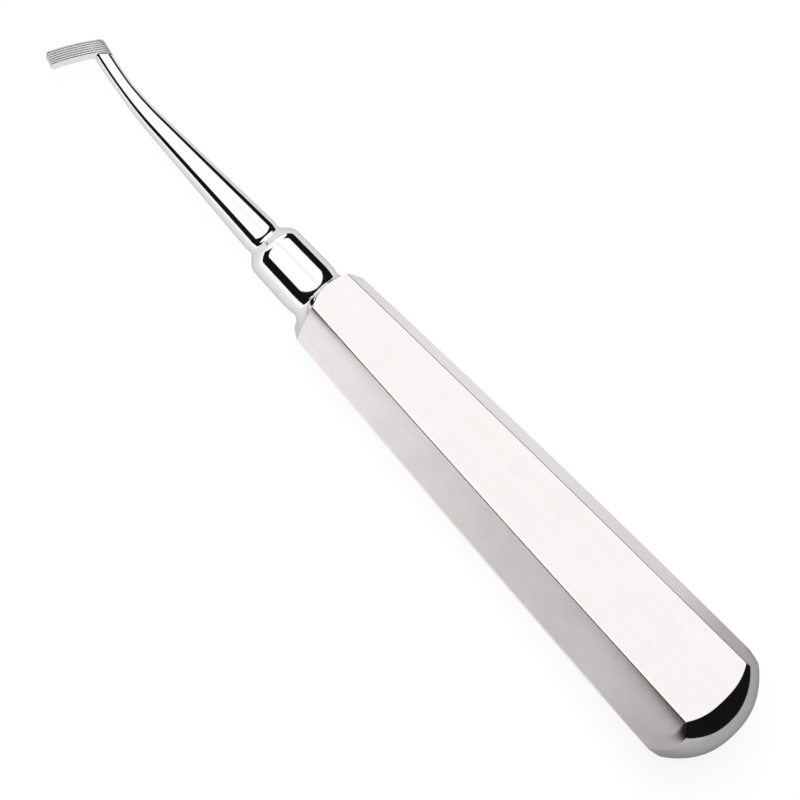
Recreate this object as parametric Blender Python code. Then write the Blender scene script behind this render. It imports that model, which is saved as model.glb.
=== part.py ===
"""Band pusher, a hand instrument that seats orthodontic bands, made from one piece of stainless steel.

The handle is a tapering six-sided bar. Its front end is shouldered down to a round collar and its butt is
ground to a dome. A tapering round shank runs from the collar, bows a little to one side and ends in a bent
foot. The foot's slanted sole is grooved lengthwise, so that it grips the edge of the band.

The shape is worked out along the instrument's axis: X runs towards the butt, Y across the bar's corners and
Z square to its two wide flats, with X = 0 at the neck, where the collar meets the handle. At the end the
instrument is laid on one wide flat, with its origin at the bottom centre of its box. Lengths are in metres.
"""

import math

import bmesh
import bpy
import numpy as np
from mathutils import Matrix

# Bar of the handle. It is lofted through three six-sided sections: at the neck, halfway and at the butt.
BAR_LENGTH = 0.0821
CORNER_HALF_WIDTH_FRONT = 0.0068
CORNER_HALF_WIDTH_MIDDLE = 0.00933
CORNER_HALF_WIDTH_BACK = 0.0111
FLAT_HALF_WIDTH_FRONT = 0.00367
FLAT_HALF_WIDTH_MIDDLE = 0.00525
FLAT_HALF_WIDTH_BACK = 0.00654
HALF_THICKNESS_FRONT = 0.00518
HALF_THICKNESS_BACK = 0.00696
RIDGE_RADIUS = 0.00022

# Domed butt. It is a rounded cap, wider than the bar, that cuts the bar's faces in curved edges. Its top
# stands DOME_LENGTH beyond the bar's back section, and its widest place DOME_DEPTH before its top. The power
# of its outline is DOME_CURVE, and that of its section falls from DOME_SQUARENESS to 2, a plain ellipse.
DOME_LENGTH = 0.00615
DOME_DEPTH = 0.02314
DOME_HALF_WIDTH = 0.01364
DOME_HALF_THICKNESS = 0.00989
DOME_CURVE = 2.39
DOME_SQUARENESS = 3.27
DOME_SQUARENESS_FADE = 3.57

# Shoulder, from the front edges of the flats down to the collar, which it meets just behind the neck.
SHOULDER_SETBACK = 0.0005
SHOULDER_SWEEP = 0.0028
SHOULDER_CURVE = 1.8
SHOULDER_HOLLOW = 1.6
SHOULDER_FOOT = 0.00025

# Collar, a plain barrel with a rounded nose that runs out into the shank.
NECK_RADIUS = 0.00456
BARREL_LENGTH = 0.008
BARREL_FRONT_RADIUS = 0.00435
BARREL_REAR_ROUND = 0.003
BARREL_REAR_DROP = 0.00026
NOSE_LENGTH = 0.00267
NOSE_ROUND = 0.00155
NOSE_FILLET = 0.0003

# Shank, measured along its centre line from the collar's nose to the bend at the foot.
SHANK_LENGTH = 0.03538
SHANK_BASE_RADIUS = 0.00289
SHANK_TIP_RADIUS = 0.00122
SHANK_TAPER_LENGTH = 0.02953
SHANK_ROOT_ROUND = 0.0009
SHANK_ROOT_DROP = 0.00016
BOW_START = 0.02303
BOW_RADIUS = 0.0535

# Foot, a flat bar across the end of the shank. Its sole slants to the side that the wide flat faces, and
# its heel ends at HEEL_REACH of the shank's radius.
FOOT_BEND = math.radians(75.4)
SOLE_SLANT = math.radians(30)
SOLE_OFFSET = 0.00112
SOLE_SHIFT = 0.00087
SOLE_WIDTH = 0.0028
TOE_REACH = 0.0081
FOOT_THICKNESS = 0.0012
FOOT_BACK_RADIUS = 0.00035
FOOT_BOW = 0.00036
HEEL_ROUND = 0.00085
HEEL_REACH = 1.03
TOE_BEVEL = 0.00022

# Lengthwise grooves of the sole.
GROOVE_COUNT = 6
GROOVE_PITCH = 0.00044
GROOVE_WIDTH = 0.00034
GROOVE_DEPTH = 0.00015

# The shank's end is buried in the foot by this much, so that the two join into one solid.
BURY_DEPTH = 0.00025
BURY_LEAD = 0.0018

# Facets of the surface.
CORNER_STEPS = 2
FLAT_STEPS = 6
BAR_STEPS = 6
DOME_STEPS = 13
SHOULDER_STEPS = 5
BARREL_STEPS = 3
REAR_STEPS = 4
NOSE_STEPS = 8
SHANK_ROOT_STEPS = 3
SHANK_STRAIGHT_STEPS = 6
SHANK_BOWED_STEPS = 10
END_STEPS = 3
FOOT_STEPS = 10
HEEL_STEPS = 4
ROUND_STEPS = 3
MITRE_PASSES = 4
EDGE_PASSES = 30

# Corners of the section in order, starting at +Y: which side of the middle each one lies on.
CORNER_SIDE_Y = np.array([1, 1, -1, -1, -1, 1])
CORNER_SIDE_Z = np.array([0, 1, 1, 0, -1, -1])
CORNERS = len(CORNER_SIDE_Y)

STEEL_COLOUR = (0.77, 0.76, 0.75, 1.0)
STEEL_ROUGHNESS = 0.18
SHARP_ANGLE = math.radians(25)


def clear_scene():
    """Remove every object that the scene starts with."""
    for item in list(bpy.data.objects):
        bpy.data.objects.remove(item, do_unlink=True)


def bezier(start, first, second, end, steps):
    """Points on a cubic Bezier curve, from its start to its end in equal steps of its parameter."""
    t = np.linspace(0, 1, steps + 1)[:, None]
    ends = (1 - t) ** 3 * np.array(start) + t ** 3 * np.array(end)
    handles = 3 * t * (1 - t) ** 2 * np.array(first) + 3 * t ** 2 * (1 - t) * np.array(second)
    return ends + handles


def three_point(front, middle, back, along):
    """Value of the parabola through the front, middle and back values, at along = 0, 0.5 and 1."""
    bulge = middle - (front + back) / 2
    return front + (back - front) * along + 4 * bulge * along * (1 - along)


def bar_sizes(x):
    """Half width over the flat, half width over the corners and half thickness of the bar at x."""
    along = x / BAR_LENGTH
    flat = three_point(FLAT_HALF_WIDTH_FRONT, FLAT_HALF_WIDTH_MIDDLE, FLAT_HALF_WIDTH_BACK, along)
    corner = three_point(CORNER_HALF_WIDTH_FRONT, CORNER_HALF_WIDTH_MIDDLE, CORNER_HALF_WIDTH_BACK, along)
    thick = HALF_THICKNESS_FRONT + (HALF_THICKNESS_BACK - HALF_THICKNESS_FRONT) * along
    return flat, corner, thick


def column_layout():
    """For each column of the surface: its corner, how far round that corner's arc, how far to the next."""
    corner, turn, cross = [], [], []
    for index in range(CORNERS):
        for step in range(CORNER_STEPS + 1):
            corner.append(index)
            turn.append(step / CORNER_STEPS)
            cross.append(0.0)
        for step in range(1, FLAT_STEPS):
            corner.append(index)
            turn.append(1.0)
            cross.append(step / FLAT_STEPS)
    return np.array(corner), np.array(turn), np.array(cross)


COLUMN_CORNER, COLUMN_TURN, COLUMN_CROSS = column_layout()
COLUMNS = len(COLUMN_CORNER)
# The first column starts half a corner arc before +Y, so the even directions of the round parts do too.
COLUMN_ANGLE = (np.arange(COLUMNS) - CORNER_STEPS / 2) * 2 * math.pi / COLUMNS


def corner_arc(corner, turn, flat, wide, thick, radius):
    """Point on the arc that rounds a corner, turned from the normal of the face before to the one after.

    The arc's centre is the corner of the same six-sided figure drawn inwards by the arc's radius.
    """
    lean = np.arctan2(wide - flat, thick)
    side = wide * np.cos(lean)
    end_centre = (side - radius) / np.cos(lean)
    flat_centre = (side - radius - (thick - radius) * np.sin(lean)) / np.cos(lean)
    side_z = CORNER_SIDE_Z[corner]
    centre_y = CORNER_SIDE_Y[corner] * np.where(side_z == 0, end_centre, flat_centre)
    centre_z = side_z * (thick - radius)
    quarter = math.pi / 2
    normals = [lean, quarter + 0 * lean, 2 * quarter - lean, 2 * quarter + lean, 3 * quarter + 0 * lean]
    normals = [-lean] + normals + [4 * quarter - lean]
    before = np.choose(corner, normals[:-1])
    after = np.choose(corner, normals[1:])
    angle = before + (after - before) * turn
    return centre_y + radius * np.cos(angle), centre_z + radius * np.sin(angle)


def six_sided(flat, wide, thick, radius):
    """Section with rounded corners, one point for each column. Each size may differ from column to column."""
    flat, wide, thick, radius = (np.broadcast_to(size, COLUMNS) for size in (flat, wide, thick, radius))
    here = corner_arc(COLUMN_CORNER, COLUMN_TURN, flat, wide, thick, radius)
    following = corner_arc((COLUMN_CORNER + 1) % CORNERS, 0 * COLUMN_TURN, flat, wide, thick, radius)
    y = here[0] + (following[0] - here[0]) * COLUMN_CROSS
    z = here[1] + (following[1] - here[1]) * COLUMN_CROSS
    return y, z


def ring(x, y, z):
    """One row of the surface as an array of points."""
    return np.stack([np.broadcast_to(x, COLUMNS), y, z], axis=1)


def dome_place(share):
    """X of the cap at a share of the way from its widest place to its top."""
    return BAR_LENGTH + DOME_LENGTH - DOME_DEPTH * (1 - share)


def dome_radius(angle, share):
    """Radius of the cap at an angle round the axis, at a share of the way to its top."""
    fullness = (1 - share ** DOME_CURVE) ** (1 / DOME_CURVE)
    power = DOME_SQUARENESS + (2 - DOME_SQUARENESS) * share ** DOME_SQUARENESS_FADE
    sideways = (np.abs(np.cos(angle)) / DOME_HALF_WIDTH) ** power
    upright = (np.abs(np.sin(angle)) / DOME_HALF_THICKNESS) ** power
    return fullness * (sideways + upright) ** (-1 / power)


def dome_edge():
    """Where the cap cuts each column of the bar, found by halving: its share, and its angle round the axis."""
    low, high = np.zeros(COLUMNS), np.ones(COLUMNS)
    for _ in range(EDGE_PASSES):
        share = (low + high) / 2
        y, z = six_sided(*bar_sizes(dome_place(share)), RIDGE_RADIUS)
        angle = np.arctan2(z, y)
        within = np.hypot(y, z) < dome_radius(angle, share)
        low, high = np.where(within, share, low), np.where(within, high, share)
    return share, angle


def dome_rings(edge_share, angle):
    """Rows of the butt from its top to just before its edge, in even turns along the cap's outline."""
    first_turn = np.arcsin(edge_share ** (DOME_CURVE / 2))
    rows = []
    for step in range(DOME_STEPS - 1, 0, -1):
        turn = first_turn + (math.pi / 2 - first_turn) * step / DOME_STEPS
        share = np.sin(turn) ** (2 / DOME_CURVE)
        radius = dome_radius(angle, share)
        rows.append(ring(dome_place(share), radius * np.cos(angle), radius * np.sin(angle)))
    return rows


def bar_rings(back_edge):
    """Rows of the bar, from the edge of the dome to the front edges of its faces."""
    flat, wide, thick = bar_sizes(0)
    y, z = six_sided(flat, wide, thick, RIDGE_RADIUS)
    front = SHOULDER_SETBACK + SHOULDER_SWEEP * (np.abs(y) / wide) ** SHOULDER_CURVE
    rows = []
    for along in np.linspace(1, 0, BAR_STEPS + 1):
        x = front + (back_edge - front) * along
        y, z = six_sided(*bar_sizes(x), RIDGE_RADIUS)
        rows.append(ring(x, y, z))
    return rows


def shoulder_rings(front_edge):
    """Rows from the bar's front edges down to the round neck, hollowed so that they meet it smoothly."""
    radius = NECK_RADIUS - BARREL_REAR_DROP
    neck = ring(SHOULDER_FOOT, radius * np.cos(COLUMN_ANGLE), radius * np.sin(COLUMN_ANGLE))
    rows = []
    for step in range(1, SHOULDER_STEPS + 1):
        left = 1 - step / SHOULDER_STEPS
        row = neck + (front_edge - neck) * left ** SHOULDER_HOLLOW
        row[:, 0] = SHOULDER_FOOT + (front_edge[:, 0] - SHOULDER_FOOT) * left
        rows.append(row)
    return rows


def round_ring(centre, across, radius):
    """A round row about a centre in the XY plane. The unit vector across points to the +Y side."""
    y_part = radius * np.cos(COLUMN_ANGLE)
    z_part = radius * np.sin(COLUMN_ANGLE)
    return np.stack([centre[0] + across[0] * y_part, centre[1] + across[1] * y_part, z_part], axis=1)


def collar_rings():
    """Rows of the barrel, rounded down at its rear, and of its nose, which ends level with the shank."""
    full = SHOULDER_FOOT - BARREL_REAR_ROUND
    rear = np.linspace(SHOULDER_FOOT, full, REAR_STEPS + 1)[1:-1]
    plain = np.linspace(full, -BARREL_LENGTH, BARREL_STEPS + 1)[:-1]
    rows = []
    for x in np.concatenate([rear, plain]):
        radius = NECK_RADIUS + (NECK_RADIUS - BARREL_FRONT_RADIUS) * x / BARREL_LENGTH
        radius -= BARREL_REAR_DROP * max((x - full) / BARREL_REAR_ROUND, 0) ** 3
        rows.append(round_ring((x, 0), (0, 1), radius))
    tip = -BARREL_LENGTH - NOSE_LENGTH
    root = SHANK_BASE_RADIUS - SHANK_ROOT_DROP
    nose = bezier((-BARREL_LENGTH, BARREL_FRONT_RADIUS), (-BARREL_LENGTH - NOSE_ROUND, BARREL_FRONT_RADIUS),
                  (tip + NOSE_FILLET, root), (tip, root), NOSE_STEPS)
    rows += [round_ring((x, 0), (0, 1), radius) for x, radius in nose]
    return rows


def shank_frame(distance):
    """Centre, forward direction and across direction of the shank, at a distance along its centre line."""
    start = -BARREL_LENGTH - NOSE_LENGTH
    straight = min(distance, BOW_START)
    turn = max(distance - BOW_START, 0) / BOW_RADIUS
    centre = np.array([start - straight - BOW_RADIUS * math.sin(turn), BOW_RADIUS * (1 - math.cos(turn))])
    forward = np.array([-math.cos(turn), math.sin(turn)])
    across = np.array([math.sin(turn), math.cos(turn)])
    return centre, forward, across


def shank_radius(distance):
    """Radius of the shank, a straight taper that is rounded down at its root and ends in a round bar."""
    taper = min(distance / SHANK_TAPER_LENGTH, 1)
    rounded = SHANK_ROOT_DROP * max(1 - distance / SHANK_ROOT_ROUND, 0) ** 2
    return SHANK_BASE_RADIUS + (SHANK_TIP_RADIUS - SHANK_BASE_RADIUS) * taper - rounded


def foot_frame():
    """Bend point and unit vectors of the foot: to the toe, out of the sole, and across the sole outwards."""
    centre, forward, _ = shank_frame(SHANK_LENGTH)
    heading = math.atan2(forward[1], forward[0]) + FOOT_BEND
    to_toe = np.array([math.cos(heading), math.sin(heading), 0])
    outward = np.array([math.sin(heading), -math.cos(heading), 0])
    up = np.array([0, 0, 1])
    sole_normal = math.cos(SOLE_SLANT) * up + math.sin(SOLE_SLANT) * outward
    across = -math.sin(SOLE_SLANT) * up + math.cos(SOLE_SLANT) * outward
    return np.array([centre[0], centre[1], 0]), to_toe, sole_normal, across


def shank_rings():
    """Rows of the shank. The last one is cut to the shape of the foot's sole, heel and outer side, inside it."""
    root = np.linspace(0, SHANK_ROOT_ROUND, SHANK_ROOT_STEPS + 1)[1:-1]
    straight = np.linspace(SHANK_ROOT_ROUND, BOW_START, SHANK_STRAIGHT_STEPS + 1)
    bowed = np.linspace(BOW_START, SHANK_LENGTH - BURY_LEAD, SHANK_BOWED_STEPS + 1)[1:]
    rows = []
    for distance in np.concatenate([root, straight, bowed]):
        centre, _, across = shank_frame(distance)
        rows.append(round_ring(centre, across, shank_radius(distance)))
    last = rows[-1]
    bend_point, _, sole_normal, sole_across = foot_frame()
    _, forward, across = shank_frame(SHANK_LENGTH - BURY_LEAD)
    forward = np.append(forward, 0)
    round_start = shank_radius(SHANK_LENGTH) * HEEL_REACH - HEEL_ROUND
    over_heel = np.clip((last - bend_point) @ np.append(across, 0) - round_start, 0, HEEL_ROUND)
    drop = HEEL_ROUND - np.sqrt(HEEL_ROUND ** 2 - over_heel ** 2)
    below_sole = SOLE_OFFSET - BURY_DEPTH - drop - (last - bend_point) @ sole_normal
    inside_edge = SOLE_SHIFT + SOLE_WIDTH / 2 - BURY_DEPTH - (last - bend_point) @ sole_across
    reach = np.minimum(below_sole / (forward @ sole_normal), inside_edge / (forward @ sole_across))
    for step in range(1, END_STEPS + 1):
        rows.append(last + np.outer(reach * step / END_STEPS, forward))
    return rows


def sole_profile():
    """Section of the foot: across the sole with its grooves, then round the back. Sole level is 0."""
    half = SOLE_WIDTH / 2
    points = [(half, 0)]
    first = (GROOVE_COUNT - 1) / 2 * GROOVE_PITCH
    for index in range(GROOVE_COUNT):
        middle = first - index * GROOVE_PITCH
        points.append((middle + GROOVE_WIDTH / 2, 0))
        points.append((middle, -GROOVE_DEPTH))
        points.append((middle - GROOVE_WIDTH / 2, 0))
    points.append((-half, 0))
    radius = FOOT_BACK_RADIUS
    for side in (-1, 1):
        for step in range(ROUND_STEPS + 1):
            angle = math.pi / 2 * step / ROUND_STEPS
            turned = angle if side < 0 else math.pi / 2 - angle
            width = half - radius + radius * math.cos(turned)
            depth = FOOT_THICKNESS - radius + radius * math.sin(turned)
            points.append((side * width, -depth))
    return np.array(points)


def foot_rings():
    """Rows of the foot from the toe to the heel, which ends level with the outer side of the shank."""
    bend_point, to_toe, sole_normal, sole_across = foot_frame()
    shank_across = np.append(shank_frame(SHANK_LENGTH)[2], 0)
    middle = bend_point + SOLE_OFFSET * sole_normal + SOLE_SHIFT * sole_across
    heel_reach = shank_radius(SHANK_LENGTH) * HEEL_REACH
    profile = sole_profile()

    def placed(width, depth, distance):
        """Points of the section at a distance from the bend towards the toe, on the foot's bowed line."""
        along = np.clip((distance + heel_reach) / (TOE_REACH + heel_reach), 0, 1)
        sideways = width + 4 * FOOT_BOW * along * (1 - along)
        in_section = np.outer(sideways, sole_across) + np.outer(depth, sole_normal)
        return middle + in_section + np.outer(distance, to_toe)

    def heel_distance(depth):
        """Distance at which each point of the section meets the plane of the heel, which is mitred."""
        distance = np.full(len(profile), -heel_reach)
        for _ in range(MITRE_PASSES):
            miss = heel_reach - (placed(profile[:, 0], depth, distance) - bend_point) @ shank_across
            distance = distance + miss / (to_toe @ shank_across)
        return distance

    narrowed = profile[:, 0] * (1 - TOE_BEVEL / (SOLE_WIDTH / 2))
    thinned = (profile[:, 1] + FOOT_THICKNESS / 2) * (1 - TOE_BEVEL / (FOOT_THICKNESS / 2)) - FOOT_THICKNESS / 2
    rows = [placed(narrowed, thinned, np.full(len(profile), TOE_REACH))]
    full_end = heel_distance(profile[:, 1]) + HEEL_ROUND
    for along in np.linspace(1, 0, FOOT_STEPS + 1):
        distance = full_end + (TOE_REACH - TOE_BEVEL - full_end) * along
        rows.append(placed(profile[:, 0], profile[:, 1], distance))
    for step in range(1, HEEL_STEPS + 1):
        angle = math.pi / 2 * step / HEEL_STEPS
        drop = HEEL_ROUND * (1 - math.cos(angle))
        depth = profile[:, 1] * (FOOT_THICKNESS - drop) / FOOT_THICKNESS - drop
        rows.append(placed(profile[:, 0], depth, heel_distance(depth) + HEEL_ROUND * (1 - math.sin(angle))))
    return rows


def end_faces(row, middle, count):
    """Faces that close an end: a fan on the index of its middle point, or one flat face without one."""
    if middle is None:
        return [tuple(range(row, row + count))]
    return [(middle, row + column, row + (column + 1) % count) for column in range(count)]


def lofted_object(name, rows, first_middle=None, last_middle=None):
    """Closed object through rows of points. An end with a middle point is drawn to it, and else it is flat."""
    count = len(rows[0])
    points = np.concatenate(rows)
    middles = []
    for middle in (first_middle, last_middle):
        middles.append(None if middle is None else len(points))
        if middle is not None:
            points = np.append(points, [middle], axis=0)
    faces = end_faces(0, middles[0], count)
    faces += end_faces((len(rows) - 1) * count, middles[1], count)
    for row in range(len(rows) - 1):
        low = row * count
        for column in range(count):
            following = (column + 1) % count
            faces.append((low + column, low + following, low + count + following, low + count + column))
    mesh = bpy.data.meshes.new(name)
    mesh.from_pydata(points.tolist(), [], faces)
    work = bmesh.new()
    work.from_mesh(mesh)
    bmesh.ops.recalc_face_normals(work, faces=work.faces)
    work.to_mesh(mesh)
    work.free()
    item = bpy.data.objects.new(name, mesh)
    bpy.context.scene.collection.objects.link(item)
    return item


def polished_steel():
    """Stainless steel with a polished finish."""
    material = bpy.data.materials.new("stainless_steel")
    material.use_nodes = True
    shader = material.node_tree.nodes["Principled BSDF"]
    shader.inputs["Base Color"].default_value = STEEL_COLOUR
    shader.inputs["Metallic"].default_value = 1.0
    shader.inputs["Roughness"].default_value = STEEL_ROUGHNESS
    return material


def lay_down(pieces):
    """Lay the instrument on its lower wide flat, with the origin at the bottom centre of its box."""
    taper = math.atan((HALF_THICKNESS_BACK - HALF_THICKNESS_FRONT) / BAR_LENGTH)
    for piece in pieces:
        piece.data.transform(Matrix.Rotation(-taper, 4, "Y"))
    points = np.array([vertex.co for piece in pieces for vertex in piece.data.vertices])
    low, high = points.min(axis=0), points.max(axis=0)
    middle = (low + high) / 2
    for piece in pieces:
        piece.data.transform(Matrix.Translation((-middle[0], -middle[1], -low[2])))


def joined(body, addition):
    """Join the addition to the body with a live Boolean union, and leave it in the scene as a guide."""
    union = body.modifiers.new("join_" + addition.name, "BOOLEAN")
    union.operation = "UNION"
    union.solver = "EXACT"
    union.object = addition
    addition.hide_render = True
    addition.display_type = "WIRE"


def build():
    """Make the handle, collar and shank as one loft and join the foot to it."""
    clear_scene()
    edge_share, angle = dome_edge()
    bar = bar_rings(dome_place(edge_share))
    rows = dome_rings(edge_share, angle) + bar + shoulder_rings(bar[-1]) + collar_rings() + shank_rings()
    apex = (BAR_LENGTH + DOME_LENGTH, 0, 0)
    body = lofted_object("band_pusher", rows, apex, rows[-1].mean(axis=0))
    foot = lofted_object("foot", foot_rings())
    lay_down((body, foot))
    joined(body, foot)
    body.data.materials.append(polished_steel())
    body.data.shade_smooth()
    body.data.set_sharp_from_angle(angle=SHARP_ANGLE)


build()
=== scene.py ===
# %% [markdown]
# A band pusher is a small steel hand tool that an orthodontist uses to press a metal band onto a tooth.
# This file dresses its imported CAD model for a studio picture. It goes in the order of the work on a bench:
# the model as it comes, the camera and the light, then the handle, the collar and shank, the grooved foot,
# and last the finishes of the steel.
#
# The CAD model is a fixed frame. Everything made here has to stand where the model stands, so its box is
# kept before anything is added.

# %% Load the CAD model
import math

import bpy
import numpy as np
from mathutils import Matrix, Vector


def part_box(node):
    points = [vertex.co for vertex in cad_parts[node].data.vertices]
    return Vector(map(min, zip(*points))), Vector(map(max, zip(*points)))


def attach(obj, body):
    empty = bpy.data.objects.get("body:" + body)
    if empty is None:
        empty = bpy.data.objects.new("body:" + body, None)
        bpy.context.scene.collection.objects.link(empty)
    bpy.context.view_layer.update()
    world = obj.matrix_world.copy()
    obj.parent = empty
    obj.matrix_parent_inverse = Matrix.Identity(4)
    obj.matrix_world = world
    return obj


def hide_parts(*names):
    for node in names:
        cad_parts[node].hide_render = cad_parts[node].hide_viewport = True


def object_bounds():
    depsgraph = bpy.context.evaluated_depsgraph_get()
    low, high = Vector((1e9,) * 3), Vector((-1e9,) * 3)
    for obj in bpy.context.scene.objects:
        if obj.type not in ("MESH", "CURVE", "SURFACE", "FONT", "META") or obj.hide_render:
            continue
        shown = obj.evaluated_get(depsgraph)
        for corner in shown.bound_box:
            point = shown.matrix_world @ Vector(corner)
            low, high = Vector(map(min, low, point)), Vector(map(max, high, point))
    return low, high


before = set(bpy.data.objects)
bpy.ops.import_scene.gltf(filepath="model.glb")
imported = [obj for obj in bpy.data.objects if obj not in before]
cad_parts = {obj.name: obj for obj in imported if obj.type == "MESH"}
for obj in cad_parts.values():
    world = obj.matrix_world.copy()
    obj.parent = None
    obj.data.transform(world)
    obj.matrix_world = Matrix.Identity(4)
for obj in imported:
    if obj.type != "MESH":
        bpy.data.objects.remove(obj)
scene = bpy.context.scene
scene.view_settings.view_transform = "Standard"
cad_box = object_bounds()
print("CAD box", [[round(value, 4) for value in corner] for corner in cad_box])

# %% [markdown]
# The handle is a six-sided bar of stainless steel. Two of its six faces are wide, and the tool lies on one
# of them. These are the sizes that the CAD model was drawn with, in metres, but for ridges that are a
# little rounder. They are measured from the neck, the point where the round collar meets the handle, with
# X towards the butt, Y across the corners and Z square to the wide faces. Where a size has three values,
# they hold at the neck, halfway and at the butt. Each has a name, so that the later cells speak of the
# neck or the butt and not of numbers.

# %% Sizes of the handle
BAR_LENGTH = 0.0821
CORNER_HALF_WIDTHS = (0.0068, 0.00933, 0.0111)
FLAT_HALF_WIDTHS = (0.00367, 0.00525, 0.00654)
HALF_THICKNESSES = (0.00518, 0.00696)
RIDGE_RADIUS = 0.00042
DOME_LENGTH = 0.00615
TAPER = math.atan((HALF_THICKNESSES[1] - HALF_THICKNESSES[0]) / BAR_LENGTH)
print("taper of each wide face:", round(math.degrees(TAPER), 2), "degrees")

# %% [markdown]
# The bar tapers, so lying on one wide face tips its middle line up a little towards the butt. One rotation
# and one shift carry every point from the drawing to the table. Working in the drawing's own axes and
# moving the finished points once is easier to follow than drawing everything tipped.

# %% From the drawing to the table
TIP = Matrix.Rotation(-TAPER, 3, "Y")
apex_from_neck = TIP @ Vector((BAR_LENGTH + DOME_LENGTH, 0, 0))
box_low, box_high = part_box("band_pusher")
NECK = Vector((
    box_high.x - apex_from_neck.x,
    (box_low.y + box_high.y) / 2,
    HALF_THICKNESSES[0] * math.cos(TAPER),
))


def on_the_table(points):
    """Turn points of the drawing by the taper about Y, and shift them so that the neck stands at NECK."""
    return points @ np.array(TIP).T + np.array(NECK)


print("neck stands at", [round(value * 1000, 2) for value in NECK], "mm")

# %% [markdown]
# The photograph looks down on the tool from over one of its long sides, through a long lens, so that lines
# that are parallel on the tool stay nearly parallel in the picture. A camera's rotation is three
# directions: what is right in the picture, what is up, and what points back at the photographer. Here they
# are built from the tool's own axes. The camera leans ROLL to the side of the wide face's normal, and the
# tool's length runs SLOPE below the picture's horizontal.

# %% Camera
ROLL = math.radians(21)
SLOPE = math.radians(46.6)
FRAME_WIDTH = 0.1158
SENSOR_WIDTH = 36
CAMERA_DISTANCE = 1.2
NECK_IN_PICTURE = (0.3931, 0.3654)

length_axis = TIP @ Vector((1, 0, 0))
face_normal = TIP @ Vector((0, 0, 1))
across = Vector((0, 1, 0)) * math.cos(ROLL) + face_normal * math.sin(ROLL)
to_camera = Vector((0, -1, 0)) * math.sin(ROLL) + face_normal * math.cos(ROLL)
picture_right = length_axis * math.cos(SLOPE) + across * math.sin(SLOPE)
picture_up = across * math.cos(SLOPE) - length_axis * math.sin(SLOPE)

aim = NECK + picture_right * (0.5 - NECK_IN_PICTURE[0]) * FRAME_WIDTH
aim += picture_up * (NECK_IN_PICTURE[1] - 0.5) * FRAME_WIDTH
camera_data = bpy.data.cameras.new("camera")
camera_data.sensor_width = SENSOR_WIDTH
camera_data.lens = SENSOR_WIDTH * CAMERA_DISTANCE / FRAME_WIDTH
camera_data.clip_start = 0.1
camera_data.clip_end = 10
camera = bpy.data.objects.new("camera", camera_data)
camera_turn = Matrix((picture_right, picture_up, to_camera)).transposed().to_4x4()
camera.matrix_world = Matrix.Translation(aim + to_camera * CAMERA_DISTANCE) @ camera_turn
scene.collection.objects.link(camera)
scene.camera = camera
camera_height = math.degrees(math.asin(to_camera.z))
print("lens", round(camera_data.lens), "mm, camera", round(camera_height), "degrees up")

# %% [markdown]
# A shader in Blender is a tree of nodes, and most of what the trees below need is made of three things: a
# node with some of its settings changed, a sum or product of two values, and a colour ramp, which turns a
# value into a grey or a colour. Three short functions add them, so that each tree reads like a formula.

# %% Shader helpers
def add_node(tree, kind, **settings):
    """Add a shader node of a kind, and set those of its properties that are given by name."""
    node = tree.nodes.new(kind)
    for name, value in settings.items():
        setattr(node, name, value)
    return node


def joined_math(tree, operation, first, second):
    """A math node on two inputs, each a socket or a number. Returns its output socket. MULTIPLY_ADD also
    adds its third input, which is left at its default of a half."""
    node = add_node(tree, "ShaderNodeMath", operation=operation)
    for socket, value in zip(node.inputs, (first, second)):
        if isinstance(value, bpy.types.NodeSocket):
            tree.links.new(value, socket)
        else:
            socket.default_value = value
    return node.outputs[0]


def ramp_between(tree, factor, stops):
    """A colour ramp on a factor. Each stop is a place from 0 to 1 and a grey or a colour."""
    node = add_node(tree, "ShaderNodeValToRGB")
    tree.links.new(factor, node.inputs["Fac"])
    elements = node.color_ramp.elements
    elements[0].position, elements[-1].position = stops[0][0], stops[-1][0]
    for place, _ in stops[1:-1]:
        elements.new(place)
    for element, (_, shade) in zip(elements, stops):
        colour = shade if isinstance(shade, tuple) else (shade, shade, shade)
        element.color = (*colour, 1)
    return node.outputs["Color"]


print("helpers add_node, joined_math and ramp_between are ready")

# %% [markdown]
# Polished steel has no look of its own: it shows the room. In the photograph the room is a tent of white
# cloth overhead, open in a dark band just above the table's edge, and that band draws the black lines
# along the collar and the shank. The world can hold such a room without any lamps. Its shader compares two
# numbers, how high a direction points and how high the opening reaches on that side, and a colour ramp
# turns what lies between them into white cloth or dark opening.
#
# The opening isn't the same all round. It reaches 33 degrees up at the sides. Towards the butt it climbs
# until no cloth is left, which draws the black crescent on the dome. Behind the foot it is closed, which
# makes the collar's nose white. The seam between two lengths of cloth, a little off the zenith, draws the
# faint line along the collar. The camera itself sees a plain white backdrop.

# %% The room
CLOTH_LIGHT = 1.2
OPENING_LIGHT = 0.006
BAND_TOP = math.sin(math.radians(33))
BAND_TOP_AT_BUTT = 1.9
BAND_BLUR = 0.04
FOOT_SIDE_TURN = math.radians(15)
CLOSED_BEHIND_FOOT = 0.105
OPEN_PAST_FOOT = 0.15
SEAM_SIDE = 0.146
SEAM_HALF_WIDTH = 0.09
SEAM_SHADE = 0.78

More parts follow.
